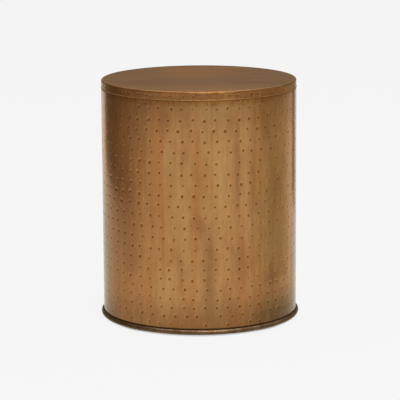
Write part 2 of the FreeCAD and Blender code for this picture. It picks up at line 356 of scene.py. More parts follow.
def spin_outline(bm, points, steps):
    """Spins an outline of (radius, height) points once round the axis."""
    verts = [bm.verts.new((radius, 0.0, height)) for radius, height in points]
    edges = [bm.edges.new(pair) for pair in zip(verts, verts[1:])]
    bmesh.ops.spin(
        bm, geom=verts + edges, cent=(0.0, 0.0, 0.0), axis=(0.0, 0.0, 1.0),
        angle=FULL_TURN, steps=steps, use_merge=True)
    bmesh.ops.remove_doubles(bm, verts=bm.verts, dist=WELD)


# Material helpers

# Ranges that recur: where most values of a noise lie, and tones that rise and fade
NOISE = (0.3, 0.7)
RISING = (0.0, 1.0)
FADING = (1.0, 0.0)


class Nodes:
    """The node tree of a material or of the world, with a short call for each kind of node."""

    def __init__(self, owner):
        owner.use_nodes = True
        self.tree = owner.node_tree

    def feed(self, socket, value):
        """Links an output to a socket, or sets the socket to a value."""
        if isinstance(value, bpy.types.NodeSocket):
            self.tree.links.new(value, socket)
        elif socket.type == "RGBA":
            socket.default_value = (*value, 1.0)
        else:
            socket.default_value = value

    def node(self, kind, sockets=None, **options):
        """Adds a node, sets its options and feeds its sockets."""
        node = self.tree.nodes.new("ShaderNode" + kind)
        for option, value in options.items():
            setattr(node, option, value)
        for socket, value in (sockets or {}).items():
            self.feed(node.inputs[socket], value)
        return node

    def spread(self, value, between, onto=RISING):
        """Maps a range of values onto another, and holds it there."""
        sockets = {"Value": value}
        sockets["From Min"], sockets["From Max"] = between
        sockets["To Min"], sockets["To Max"] = onto
        return self.node("MapRange", sockets).outputs["Result"]

    def arithmetic(self, operation, first, second):
        """One step of arithmetic."""
        return self.node("Math", {0: first, 1: second}, operation=operation).outputs[0]

    plus = partialmethod(arithmetic, "ADD")
    minus = partialmethod(arithmetic, "SUBTRACT")
    times = partialmethod(arithmetic, "MULTIPLY")
    larger = partialmethod(arithmetic, "MAXIMUM")

    def vector(self, operation, *values):
        """One step of arithmetic on vectors."""
        return self.node("VectorMath", dict(enumerate(values)), operation=operation)

    def mark(self, name):
        """A piece's own attribute."""
        return self.node("Attribute", attribute_name=name).outputs["Fac"]


class Paper(Nodes):
    """One material of the stage, whose surface is a shader of its own."""

    def __init__(self, name):
        self.material = bpy.data.materials.new(name)
        super().__init__(self.material)
        self.tree.nodes.remove(self.tree.nodes["Principled BSDF"])

    def show(self, shader):
        """Makes a shader the surface."""
        self.feed(self.tree.nodes["Material Output"].inputs["Surface"], shader.outputs[0])


class Finish(Nodes):
    """One material on object coordinates, whose nodes feed a principled surface."""

    def __init__(self, name, **surface):
        self.material = bpy.data.materials.new(name)
        super().__init__(self.material)
        self.place = self.node("TexCoord").outputs["Object"]
        for socket, value in surface.items():
            self.show(socket.replace("_", " ").title(), value)

    def show(self, socket, value):
        """Feeds one socket of the surface."""
        self.feed(self.tree.nodes["Principled BSDF"].inputs[socket], value)

    def bumps(self, value, strength, distance):
        """Feeds the surface's normal with fine bumps."""
        bump = self.node("Bump", {"Height": value, "Strength": strength, "Distance": distance})
        self.show("Normal", bump.outputs["Normal"])

    def axis(self, name):
        """The place along one axis."""
        return self.node("SeparateXYZ", {0: self.place}).outputs[name]

    def stretched(self, scale):
        """Object coordinates with one scale, or with one along each axis."""
        scales = scale if isinstance(scale, tuple) else (scale, scale, scale)
        return self.node("Mapping", {"Vector": self.place, "Scale": scales}).outputs["Vector"]

    def cloud(self, scale, detail=3.0, roughness=0.55, distortion=0.0):
        """Noise from 0 to 1."""
        sockets = {"Vector": self.stretched(scale), "Scale": 1.0}
        sockets |= {"Detail": detail, "Roughness": roughness, "Distortion": distortion}
        return self.node("TexNoise", sockets).outputs["Fac"]

    def patches(self, scale, between, onto=RISING, detail=3.0):
        """Noise with a range of its values mapped onto another."""
        return self.spread(self.cloud(scale, detail), between, onto)

    def blend(self, share, first, second, way="MIX"):
        """Mixes two colours."""
        sockets = {0: share, 6: first, 7: second}
        return self.node("Mix", sockets, data_type="RGBA", blend_type=way).outputs[2]

    def shaded(self, colour, shade):
        """A colour times a tone."""
        return self.blend(1.0, colour, shade, "MULTIPLY")

    def towards(self, degrees):
        """How nearly a place on the wall faces a turn from the front: 1 there, 0 a quarter turn away."""
        turn = math.radians(degrees)
        facing = (math.sin(turn) / WALL_HIGH.x, -math.cos(turn) / WALL_HIGH.x, 0.0)
        return self.vector("DOT_PRODUCT", self.place, facing).outputs["Value"]

    def away(self, point):
        """Distance from a point."""
        return self.vector("DISTANCE", self.place, point).outputs["Value"]

    def away_from_seam(self):
        """Distance from the plane of the seam behind the wall, and far more in front."""
        beside = self.arithmetic("ABSOLUTE", self.axis("X"), 0.0)
        in_front = self.spread(self.axis("Y"), (0.0, 0.5 * WALL_HIGH.x), FADING)
        return self.plus(beside, in_front)

    def ragged(self, scale, reach):
        """Object coordinates, pushed about by noise so that outlines fray."""
        push = self.node("TexNoise", {"Vector": self.stretched(scale), "Scale": 1.0}).outputs["Color"]
        centred = self.vector("SUBTRACT", push, (0.5, 0.5, 0.5)).outputs["Vector"]
        return self.vector("MULTIPLY_ADD", centred, reach, self.place).outputs["Vector"]

    def oval(self, place, degrees, height, wide, tall):
        """A soft oval on the wall, from 1 in its middle to 0 at its rim."""
        turn = math.radians(degrees)
        middle = (WALL_HIGH.x * math.sin(turn), -WALL_HIGH.x * math.cos(turn), height)
        scale = (1.0 / wide, 1.0 / wide, 1.0 / tall)
        start = [-where * size for where, size in zip(middle, scale)]
        centred = self.node("Mapping", {"Vector": place, "Scale": scale, "Location": start})
        distance = self.vector("LENGTH", centred.outputs["Vector"]).outputs["Value"]
        return self.spread(distance, (1.0, 0.25))


def scaled(colour, factor):
    """A darker or paler tone of a colour."""
    return tuple(factor * part for part in colour)


# Finish of the wall

# Streaks and stains by colour: turn from the front in degrees, height, half width, half length, share
STAINS = {
    "golden": (
        (-18.0, 0.335, 0.014, 0.08, 0.8),
        (11.0, 0.3, 0.02, 0.14, 0.9),
        (-17.0, 0.1, 0.026, 0.06, 0.9),
        (-14.0, 0.05, 0.022, 0.045, 0.7),
        (16.0, 0.12, 0.016, 0.055, 0.35),
        (55.0, 0.19, 0.04, 0.1, 0.9),
        (33.0, 0.205, 0.03, 0.06, 0.5),
        (6.0, 0.42, 0.03, 0.04, 0.6),
        (-17.0, 0.215, 0.02, 0.08, 0.5),
        (4.0, 0.365, 0.024, 0.09, 0.55),
        (63.0, 0.27, 0.022, 0.1, 0.6),
    ),
    "reddish": (
        (-52.0, 0.075, 0.09, 0.1, 0.75),
        (0.0, 0.022, 0.11, 0.035, 0.6),
        (38.0, 0.415, 0.05, 0.045, 0.5),
        (68.0, 0.41, 0.08, 0.05, 0.6),
    ),
    "brown": (
        (-26.0, 0.43, 0.1, 0.05, 0.45),
        (-40.0, 0.365, 0.05, 0.06, 0.3),
        (-58.0, 0.205, 0.085, 0.16, 0.9),
        (-45.0, 0.205, 0.05, 0.1, 0.65),
        (-68.0, 0.075, 0.08, 0.085, 0.8),
        (-45.0, 0.045, 0.07, 0.05, 0.35),
        (-1.0, 0.205, 0.018, 0.03, 0.6),
        (5.0, 0.155, 0.022, 0.07, 0.65),
        (5.0, 0.09, 0.018, 0.07, 0.5),
        (22.0, 0.3, 0.013, 0.12, 0.65),
        (23.0, 0.14, 0.022, 0.07, 0.35),
        (47.0, 0.09, 0.02, 0.06, 0.65),
        (57.0, 0.07, 0.024, 0.05, 0.65),
        (70.0, 0.07, 0.04, 0.05, 0.55),
        (-43.0, 0.14, 0.035, 0.06, 0.4),
        (14.0, 0.05, 0.07, 0.055, 0.4),
        (43.0, 0.08, 0.055, 0.04, 0.4),
    ),
    "olive": (
        (-76.0, 0.14, 0.055, 0.17, 1.0),
        (76.0, 0.14, 0.03, 0.14, 0.8),
    ),
}

# Noise that frays their outlines, and how far it pushes them
FRAY_SCALE = (45.0, 45.0, 9.0)
FRAY_REACH = (0.024, 0.024, 0.09)

# Patina at the foot of the flanks: turn in degrees, how nearly faced, share, heights over which it fades
PATINA_FLANKS = (
    (-85.0, (0.86, 0.985), 0.9, (22.0 * MM, 48.0 * MM)),
    (57.0, (0.85, 0.97), 0.8, (32.0 * MM, 85.0 * MM)),
)

# Heights between which the wall's finish changes
WARM_FLANK_HEIGHTS = (0.16, 0.28)
UPPER_SHADE_HEIGHTS = (0.36, 0.43)
# Painted shade towards the foot
LOWER_SHADE_HEIGHTS = (14.0 * MM, 72.0 * MM)
# Painted shade under the lid's skirt
UNDER_LID_SHADE_HEIGHTS = (LID_LOW.z - 14.0 * MM, LID_LOW.z - 3.0 * MM)
# Dirt and painted shade just above the bead
CREASE_HEIGHTS = (BEAD_HIGH.z + 3.1 * MM, BEAD_HIGH.z + 1.1 * MM)

# Distances from the seam between which its dirt fades
SEAM_DIRT = (0.5 * MM, 1.6 * MM)


def streaked_ground(brass, colours, height):
    """Golden brass with soft upright streaks, redder on the flanks, and brown blotches."""
    wide = brass.times(brass.cloud((11.0, 11.0, 2.2)), 0.5)
    fine = brass.times(brass.cloud((48.0, 48.0, 5.0)), 0.5)
    streaks = brass.spread(brass.plus(wide, fine), (0.4, 0.6))
    left = brass.spread(brass.towards(-50.0), (0.82, 0.99), (0.0, 0.8))
    left = brass.times(left, brass.spread(height, WARM_FLANK_HEIGHTS))
    right = brass.spread(brass.towards(52.0), (0.84, 0.99), (0.0, 0.15))
    rubbed = brass.spread(brass.minus(streaks, brass.plus(left, right)), RISING)
    colour = brass.blend(rubbed, colours.reddish, colours.golden)
    blotches = brass.patches((24.0, 24.0, 11.0), (0.54, 0.72), (0.0, 0.45), detail=4.0)
    return brass.blend(blotches, colour, colours.brown)


def stained(brass, colours, colour):
    """Adds the streaks and stains, with frayed outlines."""
    frayed = brass.ragged(FRAY_SCALE, FRAY_REACH)
    for tone, stains in STAINS.items():
        for degrees, height, wide, tall, share in stains:
            oval = brass.oval(frayed, degrees, height, wide, tall)
            colour = brass.blend(brass.times(oval, share), colour, getattr(colours, tone))
    return colour


def tarnished(brass, colours, colour, height):
    """Adds dark patina at the foot of both flanks."""
    flanks = []
    for degrees, facing, share, heights in PATINA_FLANKS:
        flank = brass.spread(brass.towards(degrees), facing, (0.0, share))
        flanks.append(brass.times(flank, brass.spread(height, heights, FADING)))
    patches = brass.patches(14.0, (0.22, 0.46))
    return brass.blend(brass.times(brass.plus(*flanks), patches), colour, colours.patina)


def wall_shade(brass, mottle, height):
    """Fine mottling and brushing, darker under the lid, and painted shade towards the foot."""
    shades = (
        brass.spread(mottle, NOISE, (0.9, 1.08)),
        brass.patches((170.0, 170.0, 4.0), NOISE, (0.92, 1.07)),
        brass.spread(height, UPPER_SHADE_HEIGHTS, (1.0, 0.8)),
        # Painted shade towards the foot
        brass.spread(height, LOWER_SHADE_HEIGHTS, (0.64, 1.0)),
    )
    return reduce(brass.times, shades)


def dimpled(brass, colour, bottom, burr):
    """Paints a highlight on one side of the dimples' lips and darkens their bottoms."""
    # Painted highlight on one side of each lip
    colour = brass.blend(brass.times(brass.mark("lip"), 0.36), colour, burr)
    return brass.blend(brass.spread(brass.mark("punch"), (0.2, 0.62)), colour, bottom, "MULTIPLY")


def hammered_brass(colours):
    """Antiqued brass sheet: streaks, stains, patina, dark dimples with painted highlights on their lips,
    painted shade under the lid and towards the foot, dirt and painted shade in the creases, and a raw
    inside.
    """
    brass = Finish("hammered_brass", specular_tint=(1.0, 0.96, 0.86))
    height = brass.axis("Z")
    mottle = brass.cloud((160.0, 160.0, 70.0), detail=4.0)
    shade = wall_shade(brass, mottle, height)
    colour = stained(brass, colours, streaked_ground(brass, colours, height))
    colour = brass.shaded(tarnished(brass, colours, colour, height), shade)
    under_lid = brass.spread(height, UNDER_LID_SHADE_HEIGHTS)
    # Painted shade under the lid's skirt, tinted red-brown
    colour = brass.blend(under_lid, colour, colours.under_lid_shade, "MULTIPLY")
    specks = brass.times(under_lid, brass.patches((170.0, 170.0, 110.0), (0.5, 0.68), (0.0, 0.5)))
    seam = brass.spread(brass.away_from_seam(), SEAM_DIRT, (0.7, 0.0))
    # Dirt and painted shade in the crease above the bead
    over_bead = brass.spread(height, CREASE_HEIGHTS)
    dirt_and_crease_shade = brass.plus(brass.plus(specks, seam), over_bead)
    colour = brass.blend(dirt_and_crease_shade, colour, colours.crease)
    colour = dimpled(brass, colour, colours.dimple, colours.lip_highlight)
    inside = brass.mark("inside")
    raw = brass.shaded(colours.raw_brass, shade)
    brass.show("Base Color", brass.blend(inside, colour, raw))
    dull = brass.larger(over_bead, brass.times(inside, 0.5))
    brass.show("Metallic", brass.spread(dull, RISING, FADING))
    brass.show("Specular IOR Level", brass.spread(over_bead, RISING, (0.5, 0.0)))
    satin = brass.spread(mottle, NOISE, (0.15, 0.23))
    brass.show("Roughness", brass.plus(satin, brass.times(dull, 0.7)))
    brass.bumps(brass.cloud((420.0, 420.0, 160.0), detail=2.0), 0.08, 0.15 * MM)
    return brass.material


# Finishes of the lid and the bead

# Where the lid's bloom and the painted highlight at its front spread from, and the heights at which its
# skirt starts
BLOOM = (0.0, 0.09, LID_HIGH.z)
FRONT = (0.0, -0.35, LID_HIGH.z)
SKIRT_HEIGHTS = (LID_HIGH.z - 0.3 * MM, LID_HIGH.z - 1.5 * MM)

# The bead's mark from its darkest to its own colour: darkest are the dirt and painted shade in its crease
# and the painted shade underneath
SHADED_AND_DIRTY = (0.0, 0.2)


def lid_top(brass, colours):
    """The lid's top: redder clouds, a red bloom at the back and a painted highlight at the front."""
    drift = brass.patches((9.0, 5.0, 9.0), (0.35, 0.65))
    colour = brass.blend(drift, colours.top, colours.top_warm)
    bloom = brass.spread(brass.away(BLOOM), (0.03, 0.13), (0.9, 0.0))
    colour = brass.blend(bloom, colour, colours.top_bloom)
    # Painted highlight across the front of the top
    front = brass.spread(brass.away(FRONT), (0.17, 0.29), FADING)
    return brass.blend(front, colour, colours.top_front_highlight)


def lid_skirt(brass, colours):
    """The lid's skirt: rubbed patches and specks of grime, with painted shade towards its flanks."""
    patches = brass.patches((34.0, 34.0, 60.0), (0.4, 0.65), detail=4.0)
    colour = brass.blend(patches, colours.skirt, colours.skirt_worn)
    grime = brass.patches((150.0, 150.0, 260.0), (0.58, 0.7), (0.0, 0.8))
    colour = brass.blend(grime, colour, colours.grime)
    # Painted shade towards the skirt's flanks
    return brass.shaded(colour, brass.spread(brass.towards(0.0), (0.2, 0.8), (0.72, 1.0)))


def spun_brass(colours):
    """Browned brass of the lid: satin, rubbed bright along its edges, with dark dents."""
    brass = Finish("spun_brass", metallic=1.0, specular_tint=(1.0, 0.92, 0.7))
    on_skirt = brass.spread(brass.axis("Z"), SKIRT_HEIGHTS)
    colour = brass.blend(on_skirt, lid_top(brass, colours), lid_skirt(brass, colours))
    mottle = brass.cloud(140.0, detail=4.0)
    wipes = brass.patches((7.0, 34.0, 7.0), (0.35, 0.65), (0.9, 1.08))
    colour = brass.shaded(colour, brass.times(brass.spread(mottle, NOISE, (0.85, 1.12)), wipes))
    wear_and_shade = brass.mark("wear_and_shade")
    worn = brass.patches(40.0, (0.35, 0.6), (0.18, 0.36), detail=2.0)
    colour = brass.blend(brass.times(wear_and_shade, worn), colour, colours.rubbed)
    brass.show("Base Color", dimpled(brass, colour, colours.dent, colours.lip_highlight))
    satin = brass.spread(mottle, NOISE, (0.36, 0.46))
    satin = brass.plus(satin, brass.spread(wear_and_shade, (0.0, 0.3), (0.0, 0.16)))
    brass.show("Roughness", brass.minus(satin, brass.times(on_skirt, 0.12)))
    brass.bumps(brass.cloud(380.0, detail=2.0), 0.2, 0.1 * MM)
    return brass.material


def bead_brass(colours):
    """Half-round bar: greyed, rubbed in patches along its crown, with dirt and painted shade in its
    crease, painted shade underneath and painted shade towards its flanks.
    """
    brass = Finish("bead_brass", specular_tint=(1.0, 0.9, 0.7))
    worn = brass.patches((70.0, 70.0, 30.0), (0.42, 0.66), detail=4.0)
    colour = brass.blend(worn, colours.bead, colours.bead_worn)
    # Painted shade towards the bead's flanks
    colour = brass.shaded(colour, brass.spread(brass.towards(8.0), (0.45, 0.9), (0.45, 1.0)))
    # Dirt and painted shade in the crease, painted shade underneath
    clean_and_unshaded = brass.mark("wear_and_shade")
    brass.show("Base Color", brass.blend(clean_and_unshaded, colours.crease, colour))
    brass.show("Metallic", brass.spread(clean_and_unshaded, SHADED_AND_DIRTY))
    brass.show("Specular IOR Level", brass.spread(clean_and_unshaded, SHADED_AND_DIRTY, (0.0, 0.5)))
    mottle = brass.cloud(200.0)
    satin = brass.spread(mottle, NOISE, (0.34, 0.46))
    brass.show("Roughness", brass.plus(satin, brass.spread(clean_and_unshaded, SHADED_AND_DIRTY, (0.5, 0.0))))
    brass.bumps(mottle, 0.5, 0.3 * MM)
    return brass.material


# Finishes of the felts and of the inner pieces


def pressed_felt(colours):
    """Matted brown wool."""
    felt = Finish("pressed_felt", metallic=0.0, roughness=0.95, sheen_weight=0.35, sheen_roughness=0.5)
    fibres = felt.cloud(900.0, detail=5.0, roughness=0.7, distortion=1.5)
    colour = felt.blend(felt.spread(fibres, NOISE), scaled(colours.felt, 0.6), scaled(colours.felt, 1.6))
    felt.show("Base Color", felt.shaded(colour, felt.patches(40.0, NOISE, (0.8, 1.15), detail=2.0)))
    felt.bumps(fibres, 0.6, 0.4 * MM)
    return felt.material


def dulled_metal(name, colour, rough, grain):
    """Plain metal with a fine grain and dull clouds."""
    metal = Finish(name, metallic=1.0)
    clouds = metal.patches(35.0, (0.35, 0.65), detail=4.0)
    metal.show("Base Color", metal.blend(clouds, scaled(colour, 0.7), scaled(colour, 1.15)))
    lines = metal.cloud(grain, detail=2.0)
    metal.show("Roughness", metal.spread(lines, NOISE, (rough - 0.06, rough + 0.08)))
    metal.bumps(lines, 0.2, 0.08 * MM)
    return metal.material


def satin_paint(colours):
    """Dark paint with a light orange peel and rubbed patches."""
    paint = Finish("base_paint", metallic=0.0)
    clouds = paint.cloud(18.0, detail=4.0)
    worn = paint.spread(clouds, (0.4, 0.75))
    paint.show("Base Color", paint.blend(worn, colours.plate, scaled(colours.plate, 1.7)))
    paint.show("Roughness", paint.spread(clouds, NOISE, (0.38, 0.52)))
    paint.bumps(paint.cloud(520.0, detail=1.0), 0.25, 0.1 * MM)
    return paint.material


def sanded_board(colours):
    """Fibreboard: fine short fibres and faint clouds."""
    board = Finish("sanded_board", metallic=0.0, roughness=0.8)
    fibres = board.cloud((900.0, 300.0, 900.0), detail=4.0, roughness=0.7)
    colour = board.blend(board.spread(fibres, NOISE), scaled(colours.board, 0.75), colours.board)
    board.show("Base Color", board.shaded(colour, board.patches(22.0, NOISE, (0.88, 1.08))))
    board.bumps(fibres, 0.3, 0.1 * MM)
    return board.material


def moulded_rubber(colours):
    """Matt rubber with a dusty bloom."""
    rubber = Finish("foot_rubber", metallic=0.0)
    clouds = rubber.cloud(60.0, detail=4.0)
    dusty = rubber.spread(clouds, (0.45, 0.75))
    rubber.show("Base Color", rubber.blend(dusty, colours.rubber, scaled(colours.rubber, 2.2)))
    rubber.show("Roughness", rubber.spread(clouds, NOISE, (0.62, 0.8)))
    rubber.bumps(rubber.cloud(700.0, detail=2.0), 0.3, 0.1 * MM)
    return rubber.material


# Wall

DIMPLE_RINGS = (
    Ring(1.75, 0.0, 0.0, 0.0),
    Ring(1.3, 0.0, 0.0, 1.0),
    Ring(0.92, 0.22, 0.4, 0.0),
    Ring(0.5, 0.8, 0.95, 0.0),
)
BULGE_RINGS = (Ring(1.9, 0.0, 0.0, 0.0),)

# How far single dimples differ from the usual size, depth and tone
DIMPLE_SIZES = (0.75, 1.1)
DIMPLE_DEPTHS = (0.65, 1.1)
DIMPLE_TONES = (0.45, 0.98)

# Share of places left bare in the lowest row and elsewhere, and what the end rows keep of depth and tone
BARE_LOWEST = 0.35
BARE_ELSEWHERE = 0.015
END_ROW_DEPTH = 0.7
END_ROW_TONE = 0.75

# Columns beside the seam over which the rows fall back in line
SEAM_COLUMNS = 3.0

# Waves of a row's sway: share and number round the wall
SWAY_WAVES = ((0.6, 2.0), (0.4, 5.0))

# Where the lowest rows rise and how far round, in radians
LIFT_TURN = -1.3
LIFT_SPREAD = 0.6

# Height over which the wear sets in, as a share of the height where it starts
WEAR_RAMP = 0.15

# The neck: how dark the dimples' tint makes it, size of its bends in sheets, and how far below it the raw
# inside starts
NECK_TONE = 0.35
NECK_BEND = 0.4
INSIDE_DROP = 0.3 * MM

# Slow waves of the hammered sheet, as ripple reads them
WALL_WAVES = ((16.0, 3.1, 0.35), (45.0, 8.7, 0.15))


class PunchedRows:
    """Where the corners of the wall's cells lie, row by row, on the flat sheet."""

    def __init__(self, wall, draw):
        self.wall = wall
        self.girth = FULL_TURN * WALL_HIGH.x - wall.seam_gap
        self.pitch = self.girth / wall.round_count
        heights = self.heights(draw)
        self.borders = [heights[0] - 0.5 * wall.lower_pitch]
        self.borders += [0.5 * (low + high) for low, high in zip(heights, heights[1:])]
        self.borders.append(heights[-1] + 0.5 * wall.upper_pitch)
        self.shifts = [draw.uniform(-1.0, 1.0) * wall.row_shift * self.pitch for _ in self.borders]
        self.sways = [[draw.uniform(0.0, FULL_TURN) for _ in SWAY_WAVES] for _ in self.borders]

    def heights(self, draw):
        """Heights of the rows: close together at the foot and even above."""
        wall = self.wall
        heights = [wall.lowest_row]
        for row in range(wall.rows - 1):
            share = min(1.0, row / wall.settling_rows)
            pitch = wall.lower_pitch + share * (wall.upper_pitch - wall.lower_pitch)
            heights.append(heights[-1] + pitch)
        return [height + draw.uniform(-1.0, 1.0) * wall.row_jitter for height in heights]

    def place(self, column, row):
        """Where one corner lies."""
        wall = self.wall
        from_seam = min(column, wall.round_count - column)
        shift = self.shifts[row] * min(1.0, from_seam / SEAM_COLUMNS)
        along = column * self.pitch - 0.5 * self.girth + shift
        border = self.borders[row]
        if row in (0, wall.rows):
            return along, border, 0.0
        turn = along / WALL_HIGH.x
        starts = zip(SWAY_WAVES, self.sways[row])
        sway = sum(share * math.sin(waves * turn + start) for (share, waves), start in starts)
        low = held(1.0 - border / wall.lift_height)
        lift = wall.row_lift * low * math.exp(-((turn - LIFT_TURN) / LIFT_SPREAD) ** 2)
        return along, border + (wall.row_sway * sway + lift), 0.0


class DRUM_OT_hammered_wall(Operator):
    """Punch the dimpled wall as a flat sheet and roll it up behind the lid and the bead"""

    bl_idname = "drum_table.hammered_wall"
    bl_label = "Hammered wall"

    def execute(self, context):
        wall = context.scene.drum_wall
        draw = random.Random(wall.seed)
        rows = PunchedRows(wall, draw)
        bm = bmesh.new()
        add_marks(bm, "punch", "lip", "inside")
        face_cells = lay_cells(bm, wall.round_count, wall.rows, rows.place)
        plans = self.plan_dimples(wall, draw, face_cells)
        fill_cells(bm, face_cells, plans, DIMPLE_RINGS)
        back_cells = lay_cells(bm, wall.round_count, wall.rows, rows.place)
        for vert in {vert for row, column, cell in back_cells for vert in cell.verts}:
            vert.co.z = -wall.sheet
        bulges = {key: plan for key, plan in plans.items() if key[0] > 0}
        fill_cells(bm, back_cells, bulges, BULGE_RINGS, out=-wall.sheet)
        self.close_ends(bm, wall, rows.borders)
        self.mark_inside(bm, wall)
        for vert in bm.verts:
            vert.co.z -= wall.unevenness * ripple(vert, WALL_WAVES)
        roll_up(bm, WALL_HIGH.x)
        material = hammered_brass(context.scene.drum_finish)
        sharp = math.radians(30.0)
        finished_piece("hammered_wall", bm, "drum", "drum_shell", material, sharp)
        return {"FINISHED"}

    def plan_dimples(self, wall, draw, cells):
        """Which cells hold a dimple, and how far it strays, how wide, how deep and how dark it is."""
        plans = {}
        for row, column, cell in cells:
            along = draw.uniform(-1.0, 1.0) * wall.slip_along
            up = draw.uniform(-1.0, 1.0) * wall.slip_up
            radius = wall.dimple_radius * draw.uniform(*DIMPLE_SIZES)
            depth = wall.dimple_depth * draw.uniform(*DIMPLE_DEPTHS)
            tone = draw.uniform(*DIMPLE_TONES)
            bare = draw.random() < (BARE_LOWEST if row == 0 else BARE_ELSEWHERE)
            beside_seam = column in (0, wall.round_count - 1)
            if bare or beside_seam:
                continue
            if row in (0, wall.rows - 1):
                depth *= END_ROW_DEPTH
                tone *= END_ROW_TONE
            kept = 1.0 - self.worn_away(wall, cell.calc_center_median())
            plans[row, column] = (along, up, radius, depth * kept, tone * kept)
        return plans

    def worn_away(self, wall, place):
        """How far hands have rubbed the dimples away, on one flank under the lid."""
        turn = place.x / WALL_HIGH.x
        beside = math.exp(-((turn - wall.worn_turn) / wall.worn_spread) ** 2)
        high_up = held((place.y - wall.worn_from) / (WEAR_RAMP * wall.worn_from))
        return wall.worn_share * beside * high_up

    def close_ends(self, bm, wall, borders):
        """Adds the foot, the shoulder and the neck, and closes the two ends at the seam."""
        shoulder = LID_LOW.z - wall.shoulder_drop
        neck = LID_LOW.z - wall.neck_drop
        inside = HOOP_HIGH.x - WALL_HIGH.x
        outside = inside + wall.sheet
        bend = NECK_BEND * wall.sheet
        foot = [(0.0, WALL_LOW.z), (-wall.sheet, WALL_LOW.z), (-wall.sheet, borders[0])]
        grow(bm, edge_row(bm, borders[0]), foot)
        mouth = [(0.0, shoulder), (outside, neck), (outside, WALL_HIGH.z), (inside, WALL_HIGH.z)]
        mouth += [(inside, neck - bend), (-wall.sheet, shoulder - bend), (-wall.sheet, borders[-1])]
        grow(bm, edge_row(bm, borders[-1]), mouth)
        punch = bm.verts.layers.float["punch"]
        for vert in bm.verts:
            if vert.co.y > shoulder - CLOSE and vert.co.z > outside - CLOSE:
                vert[punch] = NECK_TONE
        bmesh.ops.remove_doubles(bm, verts=bm.verts, dist=WELD)
        open_edges = [edge for edge in bm.edges if edge.is_boundary]
        bmesh.ops.holes_fill(bm, edges=open_edges, sides=0)

    def mark_inside(self, bm, wall):
        """Marks the raw back of the sheet below the shoulder."""
        inside = bm.verts.layers.float["inside"]
        top = LID_LOW.z - wall.shoulder_drop - INSIDE_DROP
        for vert in bm.verts:
            vert[inside] = vert.co.z < -0.9 * wall.sheet and vert.co.y < top


# Lid

DENT_RINGS = (
    Ring(1.4, 0.0, 0.0, 0.0),
    Ring(1.15, 0.0, 0.0, 1.0),
    Ring(0.9, 0.22, 0.4, 0.0),
    Ring(0.5, 0.8, 0.95, 0.0),
)

# How far dents stray along the skirt and up it, in millimetres, and differ in size, depth and tone
DENT_ALONG = (-5.0, 5.0)
DENT_UP = (-1.2, 0.4)
DENT_SIZES = (0.7, 1.1)
DENT_DEPTHS = (0.5, 1.1)
DENT_TONES = (0.6, 1.0)

# Margins between the dented band and the skirt's bead and rounded edge
BEAD_MARGIN = 1.6 * MM
EDGE_MARGIN = 0.8 * MM

# Steps of the rounded edge outside and inside, and rings of the top
OUTER_STEPS = 6
INNER_STEPS = 4
TOP_RINGS = 12

# Rounding of the skirt's bead, as a share of how far it stands out
BEAD_ROUNDING = 0.35

# How strongly the rounded edge and the skirt's bead are rubbed
EDGE_RUB = 0.3
BEAD_RUB = 1.0

# Slow waves of the top, as ripple reads them, and the width over which they set in
LID_WAVES = ((14.0, 5.3, 0.5),)
WAVE_MARGIN = 20.0 * MM


